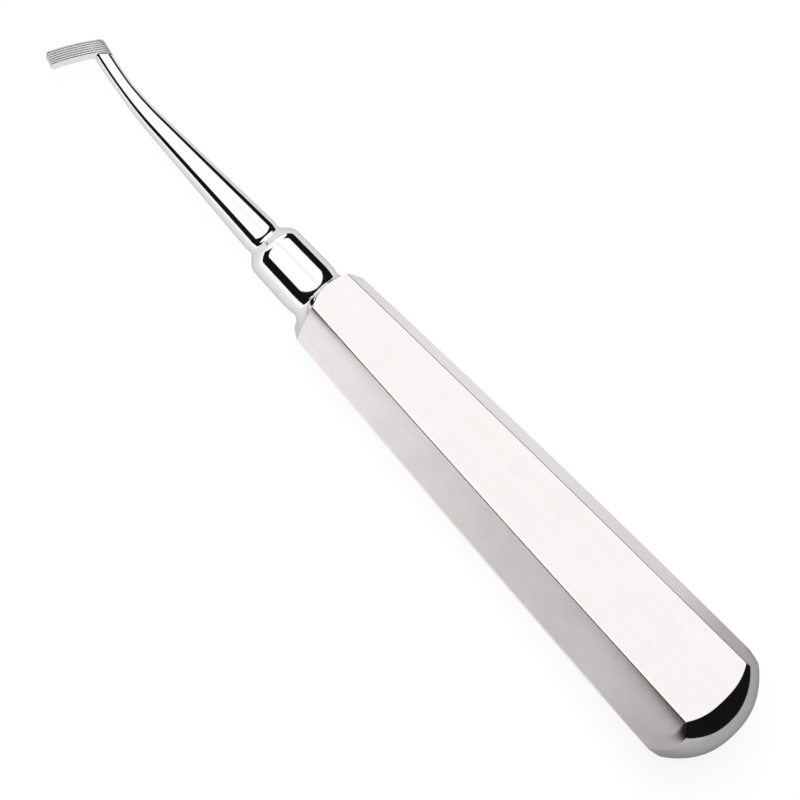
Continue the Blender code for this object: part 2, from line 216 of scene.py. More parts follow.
world = bpy.data.worlds.new("room")
world.use_nodes = True
scene.world = world
tree = world.node_tree
tree.nodes.clear()
direction = add_node(tree, "ShaderNodeTexCoord").outputs["Generated"]
parts = add_node(tree, "ShaderNodeSeparateXYZ")
tree.links.new(direction, parts.inputs[0])
height = parts.outputs["Z"]
from_foot = add_node(tree, "ShaderNodeVectorMath", operation="DOT_PRODUCT")
tree.links.new(direction, from_foot.inputs[0])
from_foot.inputs[1].default_value = (math.cos(FOOT_SIDE_TURN), -math.sin(FOOT_SIDE_TURN), 0)
past_foot = joined_math(tree, "MULTIPLY_ADD", from_foot.outputs["Value"], 0.5)
foot_stops = [(CLOSED_BEHIND_FOOT, 0.0), (OPEN_PAST_FOOT, BAND_TOP_AT_BUTT)]
foot_top = ramp_between(tree, past_foot, foot_stops)
bar_top = ramp_between(tree, parts.outputs["X"], [(0.0, BAND_TOP), (1.0, BAND_TOP_AT_BUTT)])
over_band = joined_math(tree, "SUBTRACT", height, joined_math(tree, "MINIMUM", foot_top, bar_top))
cloth = ramp_between(tree, over_band, [(0.0, OPENING_LIGHT), (BAND_BLUR, 1.0)])
past_seam = joined_math(tree, "SUBTRACT", parts.outputs["Y"], SEAM_SIDE)
off_seam = joined_math(tree, "ABSOLUTE", past_seam, 0.0)
seam_place = joined_math(tree, "DIVIDE", off_seam, SEAM_HALF_WIDTH)
seam = ramp_between(tree, seam_place, [(0.0, SEAM_SHADE), (1.0, 1.0)])
sewn = joined_math(tree, "MULTIPLY", cloth, seam)
room = add_node(tree, "ShaderNodeBackground")
room.inputs["Strength"].default_value = CLOTH_LIGHT
tree.links.new(sewn, room.inputs["Color"])
backdrop = add_node(tree, "ShaderNodeBackground")
backdrop.inputs["Color"].default_value = (1, 1, 1, 1)
seen = add_node(tree, "ShaderNodeLightPath").outputs["Is Camera Ray"]
choice = add_node(tree, "ShaderNodeMixShader")
tree.links.new(seen, choice.inputs[0])
tree.links.new(room.outputs[0], choice.inputs[1])
tree.links.new(backdrop.outputs[0], choice.inputs[2])
tree.links.new(choice.outputs[0], add_node(tree, "ShaderNodeOutputWorld").inputs["Surface"])
print("dark band up to", round(math.degrees(math.asin(BAND_TOP))), "degrees")

# %% [markdown]
# The table is white and reaches far past the picture, because the steel sees it out to the horizon. It is
# a flat disc, worked out as a grid of rings that lie closer in the middle. Making it with the same few
# lines as the steel pieces shows the pattern that they all follow: numpy makes the points, and from_pydata
# puts them in a mesh.

# %% The table
TABLE_RADIUS = 4.0
TABLE_RINGS = 12
TABLE_SPOKES = 64


def disc_points(radius, rings, spokes):
    """Points of a flat disc: distance from the centre times cosine and sine of the angle, ring by ring."""
    distance = radius * np.linspace(0, 1, rings + 1)[1:, None] ** 2
    angle = np.linspace(0, 2 * math.pi, spokes, endpoint=False)[None, :]
    return np.stack([distance * np.cos(angle), distance * np.sin(angle), 0 * distance * angle], axis=-1)


def quads_between(rows, columns):
    """Corner numbers of the faces between neighbouring rows, closed round the last column to the first."""
    index = np.arange(rows * columns).reshape(rows, columns)
    following = np.roll(index, -1, axis=1)
    corners = np.stack([index[:-1], index[1:], following[1:], following[:-1]], axis=-1)
    return corners.reshape(-1, 4)


table_points = disc_points(TABLE_RADIUS, TABLE_RINGS, TABLE_SPOKES)
table_faces = quads_between(TABLE_RINGS, TABLE_SPOKES).tolist()
table_faces.append(list(range(TABLE_SPOKES)))
table_mesh = bpy.data.meshes.new("table")
table_mesh.from_pydata(table_points.reshape(-1, 3).tolist(), [], table_faces)
table = bpy.data.objects.new("table", table_mesh)
scene.collection.objects.link(table)
print("table", len(table_mesh.polygons), "faces")

# %% [markdown]
# Part of the table's white is light of its own, given only to what the camera and the mirror-like steel
# see, and the rest is a plain matt surface, which keeps the soft shadow under the tool.
#
# The side faces of the handle mirror the table close by. In the photograph they grow darker towards the
# butt, as they would on a table that is lit from the other end. So the light that the steel sees follows a
# colour ramp from the neck to the butt. It is raised on the photographer's side of the tool, where the face
# would otherwise be too dark.

# %% White of the table
TABLE_SHADE = 0.3
GLOW_SEEN = 0.84
GLOW_REFLECTED = [(0.0, 0.68), (0.2, 0.78), (0.5, 0.74), (0.77, 0.62), (0.87, 0.34), (1.0, 0.25)]
NEAR_SIDE_Y = (-0.035, -0.01)
NEAR_SIDE_GAIN = 1.38


def mapped(tree, value, low, high, low_result=0.0, high_result=1.0):
    """A value carried from one range to another, and held at the ends. Returns the output socket."""
    node = add_node(tree, "ShaderNodeMapRange")
    tree.links.new(value, node.inputs["Value"])
    node.inputs["From Min"].default_value = low
    node.inputs["From Max"].default_value = high
    node.inputs["To Min"].default_value = low_result
    node.inputs["To Max"].default_value = high_result
    return node.outputs["Result"]


cloth_white = bpy.data.materials.new("table_white")
cloth_white.use_nodes = True
tree = cloth_white.node_tree
tree.nodes.clear()
paths = add_node(tree, "ShaderNodeLightPath")
glossy, transmitted = paths.outputs["Is Glossy Ray"], paths.outputs["Is Transmission Ray"]
mirrored = joined_math(tree, "MAXIMUM", glossy, transmitted)
place = add_node(tree, "ShaderNodeSeparateXYZ")
tree.links.new(add_node(tree, "ShaderNodeTexCoord").outputs["Object"], place.inputs[0])
glow_along = ramp_between(tree, mapped(tree, place.outputs["X"], NECK.x, cad_box[1][0]), GLOW_REFLECTED)
glow_across = mapped(tree, place.outputs["Y"], *NEAR_SIDE_Y, NEAR_SIDE_GAIN, 1.0)
glow_here = joined_math(tree, "MULTIPLY", glow_along, glow_across)
reflected_glow = joined_math(tree, "MULTIPLY", mirrored, glow_here)
seen_glow = joined_math(tree, "MULTIPLY", paths.outputs["Is Camera Ray"], GLOW_SEEN)
glow = add_node(tree, "ShaderNodeEmission")
tree.links.new(joined_math(tree, "ADD", seen_glow, reflected_glow), glow.inputs["Strength"])
matt = add_node(tree, "ShaderNodeBsdfDiffuse")
matt.inputs["Color"].default_value = (TABLE_SHADE, TABLE_SHADE, TABLE_SHADE, 1)
both = add_node(tree, "ShaderNodeAddShader")
tree.links.new(glow.outputs[0], both.inputs[0])
tree.links.new(matt.outputs[0], both.inputs[1])
tree.links.new(both.outputs[0], add_node(tree, "ShaderNodeOutputMaterial").inputs["Surface"])
table_mesh.materials.append(cloth_white)
print("table white of", len(tree.nodes), "nodes")

# %% [markdown]
# The section of the handle is a hexagon that is wider than it is thick, with crisp, very slightly rounded
# ridges. Each ridge is an arc about a centre set in from the corner, and between two arcs the face is
# straight. Every column of the surface has a corner, a share of that corner's arc and a share of the way
# to the next corner. The columns on a face crowd towards its ridges, so that the face shades flat right up
# to them. The side faces come off the belt very slightly crowned at their two ends, so they also need to
# know how far each of their columns is from the ridge of the wide face.

# %% Columns round the section
CORNER_SIDE_Y = np.array([1, 1, -1, -1, -1, 1])
CORNER_SIDE_Z = np.array([0, 1, 1, 0, -1, -1])
CORNERS = 6
ARC_STEPS = 8
FACE_STEPS = 19
ARC_ANGLE = math.radians(15)
FACE_ANGLE = math.radians(45)

arc_shares = np.linspace(0, 1, ARC_STEPS + 1)
face_shares = (1 - np.cos(np.linspace(0, math.pi, FACE_STEPS + 1)[1:-1])) / 2
turn = np.tile(np.concatenate([arc_shares, np.ones(FACE_STEPS - 1)]), CORNERS)
cross = np.tile(np.concatenate([np.zeros(ARC_STEPS + 1), face_shares]), CORNERS)
corner = np.repeat(np.arange(CORNERS), ARC_STEPS + FACE_STEPS)
COLUMNS = len(corner)
# For the four side faces: which way they look, and how near a column is to the wide face's ridge, up to 1.
side_of_y = np.array([1, 0, -1, -1, 0, 1])[corner] * (cross > 0)
side_of_z = np.array([1, 0, 1, -1, 0, -1])[corner] * (cross > 0)
near_ridge = np.where(np.isin(corner, (0, 3)), cross, 1 - cross)
# The same columns on a round part: each arc takes 15 degrees of it and each face 45.
column_angle = (ARC_ANGLE + FACE_ANGLE) * corner + ARC_ANGLE * (turn - 0.5) + FACE_ANGLE * cross
print(COLUMNS, "columns round the handle")

# %% [markdown]
# A hexagon with rounded corners is the same at every place along the bar, but for its sizes. So one
# function gives it for whole arrays of sizes at once.

# %% The section
CROWN_AT_ENDS = 0.00012
CROWN_POWER = 6


def corner_arc(corner, turn, flat, wide, thick, radius):
    """Point on a corner's arc: the corner of a hexagon drawn inwards by the radius, plus the radius times
    the cosine and sine of an angle that turns from the normal of one face to that of the next."""
    lean = np.arctan2(wide - flat, thick)
    side = wide * np.cos(lean)
    end_centre = (side - radius) / np.cos(lean)
    flat_centre = (side - radius - (thick - radius) * np.sin(lean)) / np.cos(lean)
    side_z = CORNER_SIDE_Z[corner]
    centre_y = CORNER_SIDE_Y[corner] * np.where(side_z == 0, end_centre, flat_centre)
    centre_z = side_z * (thick - radius)
    upright = math.pi / 2 + 0 * lean
    normals = [-lean, lean, upright, math.pi - lean, math.pi + lean, math.pi + upright, 2 * math.pi - lean]
    before = np.choose(corner, normals[:-1])
    after = np.choose(corner, normals[1:])
    angle = before + (after - before) * turn
    return centre_y + radius * np.cos(angle), centre_z + radius * np.sin(angle)


def section(flat, wide, thick, radius, crown=0.0):
    """Hexagon with rounded corners: on each face, the straight line between the arcs at its two ends. A
    side face is crowned outwards by crown * near * (1 - near ^ 6), near being 1 at the wide face's ridge."""
    flat, wide, thick, radius, crown, _ = np.broadcast_arrays(flat, wide, thick, radius, crown, cross)
    y, z = corner_arc(corner, turn, flat, wide, thick, radius)
    next_y, next_z = corner_arc((corner + 1) % CORNERS, 0 * turn, flat, wide, thick, radius)
    lean = np.arctan2(wide - flat, thick)
    rise = crown * near_ridge * (1 - near_ridge ** CROWN_POWER)
    y = y + (next_y - y) * cross + side_of_y * rise * np.cos(lean)
    z = z + (next_z - z) * cross + side_of_z * rise * np.sin(lean)
    return y, z


def through_three(values, along):
    """Parabola through the three values, at 0, a half and 1 along."""
    front, middle, back = values
    return front + (back - front) * along + 4 * (middle - (front + back) / 2) * along * (1 - along)


def bar_sizes(x):
    """Half width of the wide face, half width over the corners and half thickness of the bar at x."""
    along = x / BAR_LENGTH
    thick = HALF_THICKNESSES[0] + (HALF_THICKNESSES[1] - HALF_THICKNESSES[0]) * along
    return through_three(FLAT_HALF_WIDTHS, along), through_three(CORNER_HALF_WIDTHS, along), thick


def crown_at(x):
    """Crown of the side faces: crown at the ends * (2 * x / length - 1) ^ 4, so none at the middle."""
    return CROWN_AT_ENDS * np.clip(2 * x / BAR_LENGTH - 1, -1, 1) ** 4


def as_points(x, y, z):
    """Stack three arrays of coordinates into one array of points, stretched to a common shape."""
    return np.stack(np.broadcast_arrays(x, y, z), axis=-1)


flat, wide, thick = bar_sizes(np.array([0, BAR_LENGTH / 2, BAR_LENGTH]))
print("handle", (2000 * wide).round(2), "mm wide and", (2000 * thick).round(2), "mm thick")

# %% [markdown]
# The butt is a dome ground on the end of the bar. Think of a rounded cap, wider than the bar, pushed over
# its end: where the cap lies inside the bar, it cuts the faces off in curved edges. At any place along the
# axis the cap's section is a superellipse, an ellipse whose power is more than 2, which makes it squarer.
# The power fades to 2 at the top, and the cap's outline along the axis is a superellipse as well. A trim
# of a few thousandths of a millimetre keeps the top inside the CAD model's box.
#
# Every column keeps its angle round the axis from the edge to the top. So all that has to be found is how
# far up the cap each column starts, and that comes from halving: a place is too low while the bar is
# inside the cap, and too high once it is outside.

# %% Butt
DOME_DEPTH = 0.02314
DOME_HALF_WIDTH = 0.01364
DOME_HALF_THICKNESS = 0.00989
DOME_CURVE = 2.39
DOME_SQUARENESS = 3.27
DOME_SQUARENESS_FADE = 3.57
DOME_ROWS = 56
DOME_TRIM = 0.000005
HALVINGS = 30


def dome_place(share):
    """x on the cap: top - depth * (1 - share), with share going from 0 at its widest place to 1."""
    return BAR_LENGTH + DOME_LENGTH - DOME_TRIM - DOME_DEPTH * (1 - share)


def dome_radius(angle, share):
    """Superellipse: fullness * (|cos / half width| ^ power + |sin / half thickness| ^ power) ^
    (-1 / power), with fullness ^ curve + share ^ curve = 1."""
    fullness = (1 - share ** DOME_CURVE) ** (1 / DOME_CURVE)
    power = DOME_SQUARENESS + (2 - DOME_SQUARENESS) * share ** DOME_SQUARENESS_FADE
    sideways = (np.abs(np.cos(angle)) / DOME_HALF_WIDTH) ** power
    upright = (np.abs(np.sin(angle)) / DOME_HALF_THICKNESS) ** power
    return fullness * (sideways + upright) ** (-1 / power)


def dome_edge():
    """Share and angle at which the cap cuts each column of the bar, from halving the span between a share
    inside the cap and one outside."""
    low, high = np.zeros(COLUMNS), np.ones(COLUMNS)
    for _ in range(HALVINGS):
        share = (low + high) / 2
        x = dome_place(share)
        y, z = section(*bar_sizes(x), RIDGE_RADIUS, crown_at(x))
        angle = np.arctan2(z, y)
        inside = np.hypot(y, z) < dome_radius(angle, share)
        low, high = np.where(inside, share, low), np.where(inside, high, share)
    return share, angle


def dome_rows(edge_share, angle):
    """Rows of the butt from its top to its edge: even turns between a right angle and
    arcsin(edge_share ^ (curve / 2)), each turn giving share = sin ^ (2 / curve)."""
    first_turn = np.arcsin(edge_share ** (DOME_CURVE / 2))
    left = np.linspace(0, 1, DOME_ROWS + 1)[1:-1, None]
    share = np.cos((math.pi / 2 - first_turn) * left) ** (2 / DOME_CURVE)
    radius = dome_radius(angle, share)
    return as_points(dome_place(share), radius * np.cos(angle), radius * np.sin(angle))


edge_share, edge_angle = dome_edge()
back_edge = dome_place(edge_share)
dome = dome_rows(edge_share, edge_angle)
edge_span = (1000 * np.array([back_edge.min(), back_edge.max()])).round(2)
print("dome", dome.shape, "edge from", edge_span[0], "to", edge_span[1], "mm")

# %% [markdown]
# The bar's front end is ground so that each face stops in a crisp curved edge. The edge lies furthest
# forward in the middle of a wide face and sweeps back towards the side ridges. Rows of the surface run
# from the edge of the dome to that edge, each row bent a little less like the one and more like the other.
#
# At the butt the buffing wheel takes the crispness off: the faces roll over into the dome. Smooth shading
# does that between the dome's edge and the row beside it. So the distance between the two is the width of
# the roll: hair-thin on the wide faces, and nearly three millimetres at the far side of the side faces.

# %% Bar
BAR_ROWS = 60
EDGE_SETBACK = 0.0005
EDGE_SWEEP = 0.0028
EDGE_CURVE = 1.8
ROLL_ON_FLAT = 0.00012
ROLL_ON_SIDE = 0.0028


def bar_rows(back_edge):
    """Rows of the bar: the first is the dome's edge and the second lies before it by the width of the roll,
    flat + side * sqrt(away), away growing to 1 across a side face. From there x goes evenly to the curved
    front edge, setback + sweep * (|y| / half width) ^ curve. The section gives y and z."""
    flat, wide, thick = bar_sizes(0)
    y, _ = section(flat, wide, thick, RIDGE_RADIUS)
    front_edge = EDGE_SETBACK + EDGE_SWEEP * (np.abs(y) / wide) ** EDGE_CURVE
    on_wide_face = np.isin(corner, (1, 4)) & (cross > 0)
    away = np.where(on_wide_face, 0, 1 - near_ridge)
    rolled = back_edge - ROLL_ON_FLAT - ROLL_ON_SIDE * np.sqrt(away)
    along = np.linspace(1, 0, BAR_ROWS)[:, None]
    x = np.concatenate([back_edge[None], front_edge + (rolled - front_edge) * along])
    y, z = section(*bar_sizes(x), RIDGE_RADIUS, crown_at(x))
    return as_points(x, y, z)


bar = bar_rows(back_edge)
print("bar", bar.shape, "front edge at", (bar[-1, :, 0].min() * 1000).round(2), "mm from the neck")

# %% [markdown]
# The shoulder joins the curved front edge of the six faces to the round neck. It is hollow, like the cove
# of a turned chair leg: steep at the edge and flat where it meets the neck.
#
# The collar is a plain barrel, a little narrower to the front, that dips where it meets the shoulder. Its
# nose rounds over down to a crease, and from there a second curve flares into the shank. Each curve is a
# cubic Bezier, whose two middle points are the ends of its handles. These parts are turned, so each of
# their rows is a circle.

# %% Shoulder and collar
SHOULDER_ROWS = 26
SHOULDER_HOLLOW = 1.6
SHOULDER_FOOT = 0.00025
NECK_RADIUS = 0.00456
BARREL_LENGTH = 0.008
BARREL_FRONT_RADIUS = 0.00435
BARREL_REAR_ROUND = 0.003
BARREL_REAR_DROP = 0.00026
REAR_ROWS = 16
BARREL_ROWS = 12
NOSE_LENGTH = 0.00267
NOSE_HANDLE = 0.0009
NOSE_ROWS = 24
CREASE_SETBACK = 0.0019
CREASE_RADIUS = 0.0032
CREASE_HANDLES = (0.00045, 0.0002)
FLARE_HANDLE = 0.0004
FLARE_ROWS = 14
SHANK_BASE_RADIUS = 0.00289
SHANK_ROOT_ROUND = 0.0009
SHANK_ROOT_DROP = 0.00016


def bezier(start, first, second, end, steps):
    """Cubic Bezier curve: (1-t)^3 start + 3t(1-t)^2 first + 3t^2(1-t) second + t^3 end."""
    t = np.linspace(0, 1, steps + 1)[:, None]
    ends = (1 - t) ** 3 * np.array(start) + t ** 3 * np.array(end)
    return ends + 3 * t * (1 - t) ** 2 * np.array(first) + 3 * t ** 2 * (1 - t) * np.array(second)


def circles(x, y, across_x, across_y, radius):
    """Rows of circles: centre plus radius times cosine along the across direction and sine along Z. Each
    value is a number or has one entry for each circle."""
    values = (x, y, across_x, across_y, radius)
    x, y, across_x, across_y, radius = (np.reshape(value, (-1, 1)) for value in values)
    sideways = radius * np.cos(column_angle)
    return as_points(x + across_x * sideways, y + across_y * sideways, radius * np.sin(column_angle))


def shoulder_rows(front_edge):
    """Rows from the front edge to the neck: neck + (edge - neck) * left ^ hollow, with x running evenly."""
    left = np.linspace(1, 0, SHOULDER_ROWS + 1)[1:, None]
    neck_y = (NECK_RADIUS - BARREL_REAR_DROP) * np.cos(column_angle)
    neck_z = (NECK_RADIUS - BARREL_REAR_DROP) * np.sin(column_angle)
    share = left ** SHOULDER_HOLLOW
    y = neck_y + (front_edge[:, 1] - neck_y) * share
    z = neck_z + (front_edge[:, 2] - neck_z) * share
    return as_points(SHOULDER_FOOT + (front_edge[:, 0] - SHOULDER_FOOT) * left, y, z)


def collar_rows():
    """Rows of the collar: a straight taper, less drop * (way along the rear round) ^ 3, then one Bezier
    curve round the nose to a crease and one that flares from it into the shank."""
    full = SHOULDER_FOOT - BARREL_REAR_ROUND
    x = np.concatenate([
        np.linspace(SHOULDER_FOOT, full, REAR_ROWS + 1)[1:-1],
        np.linspace(full, -BARREL_LENGTH, BARREL_ROWS + 1)[:-1],
    ])
    radius = NECK_RADIUS + (NECK_RADIUS - BARREL_FRONT_RADIUS) * x / BARREL_LENGTH
    radius -= BARREL_REAR_DROP * np.maximum((x - full) / BARREL_REAR_ROUND, 0) ** 3
    barrel = np.stack([x, radius], axis=1)
    crease = -BARREL_LENGTH - CREASE_SETBACK
    tip = -BARREL_LENGTH - NOSE_LENGTH
    root = SHANK_BASE_RADIUS - SHANK_ROOT_DROP
    before, after = CREASE_HANDLES
    nose = bezier(
        (-BARREL_LENGTH, BARREL_FRONT_RADIUS), (-BARREL_LENGTH - NOSE_HANDLE, BARREL_FRONT_RADIUS),
        (crease + before, CREASE_RADIUS + before), (crease, CREASE_RADIUS), NOSE_ROWS)
    flare = bezier(
        (crease, CREASE_RADIUS), (crease - after, CREASE_RADIUS - after),
        (tip + FLARE_HANDLE, root), (tip, root), FLARE_ROWS)
    profile = np.concatenate([barrel, nose, flare[1:]])
    return circles(profile[:, 0], 0, 0, 1, profile[:, 1])


shoulder = shoulder_rows(bar[-1])
collar = collar_rows()
print("shoulder", shoulder.shape, "collar", collar.shape)

# %% [markdown]
# The shank is a tapering round rod. It runs straight from the collar and then bows to one side, in an arc
# of a circle, up to the foot. A sweep makes it: circles are set along the middle line, square to it. The
# last rows are pulled onto a slanted plane inside the foot, so that nothing of the rod shows through the
# sole.

# %% Shank
SHANK_LENGTH = 0.03538
SHANK_TIP_RADIUS = 0.00122
SHANK_TAPER_LENGTH = 0.02953
BOW_START = 0.02303
BOW_RADIUS = 0.0535
ROOT_ROWS = 12
SHANK_ROWS = 149
BURY_DEPTH = 0.00005
BURY_LEAD = 0.0018
BURY_ROWS = 6
FOOT_BEND = math.radians(75.4)
SOLE_SLANT = math.radians(30)
SOLE_OFFSET = 0.00104
SOLE_SHIFT = 0.00087
SOLE_WIDTH = 0.0028
HEEL_ROUND = 0.00085
HEEL_REACH = 1.09
HEEL_TILT = 0.36


def shank_line(distance):
    """Middle line: straight by the distance up to the bow, then round a circle. Gives the centre's x and y,
    the heading angle turned from the axis, and the radius, which falls evenly along the taper and dips by
    drop * (1 - distance / round) ^ 2 at the root."""
    turned = np.maximum(distance - BOW_START, 0) / BOW_RADIUS
    x = -BARREL_LENGTH - NOSE_LENGTH - np.minimum(distance, BOW_START) - BOW_RADIUS * np.sin(turned)
    y = BOW_RADIUS * (1 - np.cos(turned))
    tapered = np.minimum(distance / SHANK_TAPER_LENGTH, 1)
    radius = SHANK_BASE_RADIUS + (SHANK_TIP_RADIUS - SHANK_BASE_RADIUS) * tapered
    radius = radius - SHANK_ROOT_DROP * np.maximum(1 - distance / SHANK_ROOT_ROUND, 0) ** 2
    return x, y, turned, radius


bend_x, bend_y, bend_turn, bend_radius = shank_line(SHANK_LENGTH)
bend = np.array([bend_x, bend_y, 0])
heading = math.pi - bend_turn + FOOT_BEND
to_toe = np.array([math.cos(heading), math.sin(heading), 0])
outward = np.array([math.sin(heading), -math.cos(heading), 0])
sole_normal = math.sin(SOLE_SLANT) * outward + np.array([0, 0, math.cos(SOLE_SLANT)])
sole_across = math.cos(SOLE_SLANT) * outward - np.array([0, 0, math.sin(SOLE_SLANT)])
heel_side = np.array([math.sin(bend_turn), math.cos(bend_turn), HEEL_TILT])
heel_reach = bend_radius * HEEL_REACH


def shank_rows():
    """Rows of the shank: circles along the middle line, then the last one slid forward until it is just
    inside the foot's outer side, or just below its sole. The sole drops at the heel by
    round - sqrt(round ^ 2 - over ^ 2)."""
    distance = np.concatenate([
        np.linspace(0, SHANK_ROOT_ROUND, ROOT_ROWS + 1)[1:-1],
        np.linspace(SHANK_ROOT_ROUND, SHANK_LENGTH - BURY_LEAD, SHANK_ROWS + 1),
    ])
    x, y, turned, radius = shank_line(distance)
    rows = circles(x, y, np.sin(turned), np.cos(turned), radius)
    last = rows[-1]
    forward = np.array([-math.cos(turned[-1]), math.sin(turned[-1]), 0])
    over_heel = np.clip((last - bend) @ heel_side - (heel_reach - HEEL_ROUND), 0, HEEL_ROUND)
    drop = HEEL_ROUND - np.sqrt(HEEL_ROUND ** 2 - over_heel ** 2)
    below_sole = SOLE_OFFSET - BURY_DEPTH - drop - (last - bend) @ sole_normal
    inside_edge = SOLE_SHIFT + SOLE_WIDTH / 2 - BURY_DEPTH - (last - bend) @ sole_across
    reach = np.minimum(below_sole / (forward @ sole_normal), inside_edge / (forward @ sole_across))
    shares = np.linspace(0, 1, BURY_ROWS + 1)[1:, None, None]
    return np.concatenate([rows, last + shares * reach[None, :, None] * forward])


shank = shank_rows()
print("shank", shank.shape, "radius", round(bend_radius * 1000, 2), "mm at the foot")

# %% [markdown]
# The foot is a flat bar across the end of the shank. Its sole slants and has fine grooves along it, which
# keep it from slipping off the edge of the band. The section of the bar is a profile: along the sole with
# its grooves, then round the back. Carrying the profile along the foot's slightly bowed line makes the
# bar. The heel is mitred so that it is nearly level with the shank's outer side, leaning over it a little,
# and the sole rounds over towards it.

# %% Foot
TOE_REACH = 0.0081
FOOT_THICKNESS = 0.0012
FOOT_BACK_RADIUS = 0.00035
FOOT_BOW = 0.00036
TOE_BEVEL = 0.00022
GROOVE_COUNT = 6
GROOVE_PITCH = 0.00044
GROOVE_WIDTH = 0.00031
GROOVE_DEPTH = 0.00016
GROOVE_POINTS = 14
BACK_POINTS = 9
FOOT_ROWS = 70
HEEL_ROWS = 20
HEEL_CORRECTIONS = 4


def foot_profile():
    """Section of the foot as width and depth. Across the sole the depth is a row of raised cosines, one for
    each groove, and the back is two straight sides with quarter circles at their feet."""
    half = SOLE_WIDTH / 2
    reach = GROOVE_COUNT * GROOVE_PITCH / 2
    width = np.linspace(reach, -reach, GROOVE_COUNT * GROOVE_POINTS + 1)
    from_groove = (width + reach) % GROOVE_PITCH - GROOVE_PITCH / 2
    inside = np.minimum(np.abs(from_groove) / (GROOVE_WIDTH / 2), 1)
    depth = -GROOVE_DEPTH * (1 + np.cos(math.pi * inside)) / 2
    sole = np.stack([width, depth], axis=1)
    angle = np.linspace(0, math.pi / 2, BACK_POINTS)
    back = half - FOOT_BACK_RADIUS + FOOT_BACK_RADIUS * np.cos(angle)
    low = -FOOT_THICKNESS + FOOT_BACK_RADIUS - FOOT_BACK_RADIUS * np.sin(angle)
    left = np.stack([-back, low], axis=1)
    right = np.stack([back, low], axis=1)[::-1]
    return np.concatenate([[(half, 0)], sole, [(-half, 0)], left, right])


def placed_on_foot(width, depth, distance):
    """Point of the foot: bend + width across the sole + depth along its normal + distance to the toe. The
    width is bowed sideways by a parabola that is highest halfway along."""
    along = np.clip((distance + heel_reach) / (TOE_REACH + heel_reach), 0, 1)
    sideways = SOLE_SHIFT + width + 4 * FOOT_BOW * along * (1 - along)
    return (bend + sideways[..., None] * sole_across + (SOLE_OFFSET + depth)[..., None] * sole_normal
            + distance[..., None] * to_toe)


def heel_distance(width, depth):
    """Distance at which each point of the profile meets the heel's plane: a guess, corrected a few times by
    what it misses over to_toe @ heel_side."""
    distance = np.full(np.shape(depth), -heel_reach)
    for _ in range(HEEL_CORRECTIONS):
        miss = heel_reach - (placed_on_foot(width + 0 * depth, depth, distance) - bend) @ heel_side
        distance = distance + miss / (to_toe @ heel_side)
    return distance


def foot_rows():
    """Rows of the foot from toe to heel: a bevelled toe, the plain bar, and the sole's quarter turn."""
    profile = foot_profile()
    width, depth = profile[None, :, 0], profile[None, :, 1]
    middle = -FOOT_THICKNESS / 2
    narrow = width * (1 - TOE_BEVEL / (SOLE_WIDTH / 2))
    thin = middle + (depth - middle) * (1 + TOE_BEVEL / middle)
    toe = placed_on_foot(narrow, thin, np.full(thin.shape, TOE_REACH))
    full_end = heel_distance(width, depth) + HEEL_ROUND
    along = np.linspace(1, 0, FOOT_ROWS + 1)[:, None]
    plain = placed_on_foot(width + 0 * along, depth + 0 * along,
                           full_end + (TOE_REACH - TOE_BEVEL - full_end) * along)
    angle = np.linspace(0, math.pi / 2, HEEL_ROWS + 1)[1:, None]
    drop = HEEL_ROUND * (1 - np.cos(angle))
    lowered = depth * (FOOT_THICKNESS - drop) / FOOT_THICKNESS - drop
    ends = heel_distance(width + 0 * drop, lowered) + HEEL_ROUND * (1 - np.sin(angle))
    return np.concatenate([toe, plain, placed_on_foot(width + 0 * drop, lowered, ends)])


foot = foot_rows()
print("foot", foot.shape, "of", GROOVE_COUNT, "grooves")

# %% [markdown]
# The real tool is one piece, so its rows become two closed skins that a Boolean union fuses: the body from
# the butt to the end of the shank, and the foot. The rows of each skin are joined by faces with four
# corners. The body closes in a fan at the top of its dome, and flat ends close the rest.

# %% Skins
def skin(name, rows, tip=None):
    """Closed mesh over rows of points: faces between neighbouring rows, a fan from the first row to a tip
    where there is one, and otherwise a flat face, and a flat face on the last row."""
    count, columns = rows.shape[:2]
    points = rows.reshape(-1, 3)
    faces = quads_between(count, columns).tolist()
    first = np.arange(columns)
    if tip is None:
        faces.append(first[::-1].tolist())
    else:
        points = np.concatenate([points, [tip]])
        fan = np.stack([np.full(columns, len(points) - 1), first, np.roll(first, -1)], axis=1)
        faces += fan.tolist()
    faces.append(((count - 1) * columns + first).tolist())
    mesh = bpy.data.meshes.new(name)
    mesh.from_pydata(on_the_table(points).tolist(), [], faces)
    piece = bpy.data.objects.new(name, mesh)
    scene.collection.objects.link(piece)
    return piece


body_rows = np.concatenate([dome, bar, shoulder, collar, shank])
body = skin("polished_pusher", body_rows, tip=(dome_place(1), 0, 0))
foot_piece = skin("foot", foot)
print("body", len(body.data.polygons), "faces, foot", len(foot_piece.data.polygons), "faces")

# %% [markdown]
# Each face of the mesh has to know its finish. The faces of the bar are satin, but the ridges beside its
# wide faces are rubbed bright. The sole of the foot is ground, and the bottoms of its grooves are given a
# dark colour that is painted shade. Everything turned or domed is polished like a mirror. The rows and
# columns tell them apart, so the finish is written to the faces while they are still in order, before the
# union mixes them. Both skins carry the same list of materials, and the union then keeps each face's number.

# %% Finish of each face
SATIN, MIRROR, GROUND, GROOVE_PAINTED_SHADE = range(4)
# Below this share of a groove's depth, the sole's faces take the dark groove finish, which is painted shade.
PAINTED_SHADE_DEPTH_SHARE = 0.6
FINISH_NAMES = ("satin_steel", "mirror_steel", "ground_steel", "groove_painted_shade")
finishes = [bpy.data.materials.new(name) for name in FINISH_NAMES]
for material in finishes:
    material.use_nodes = True

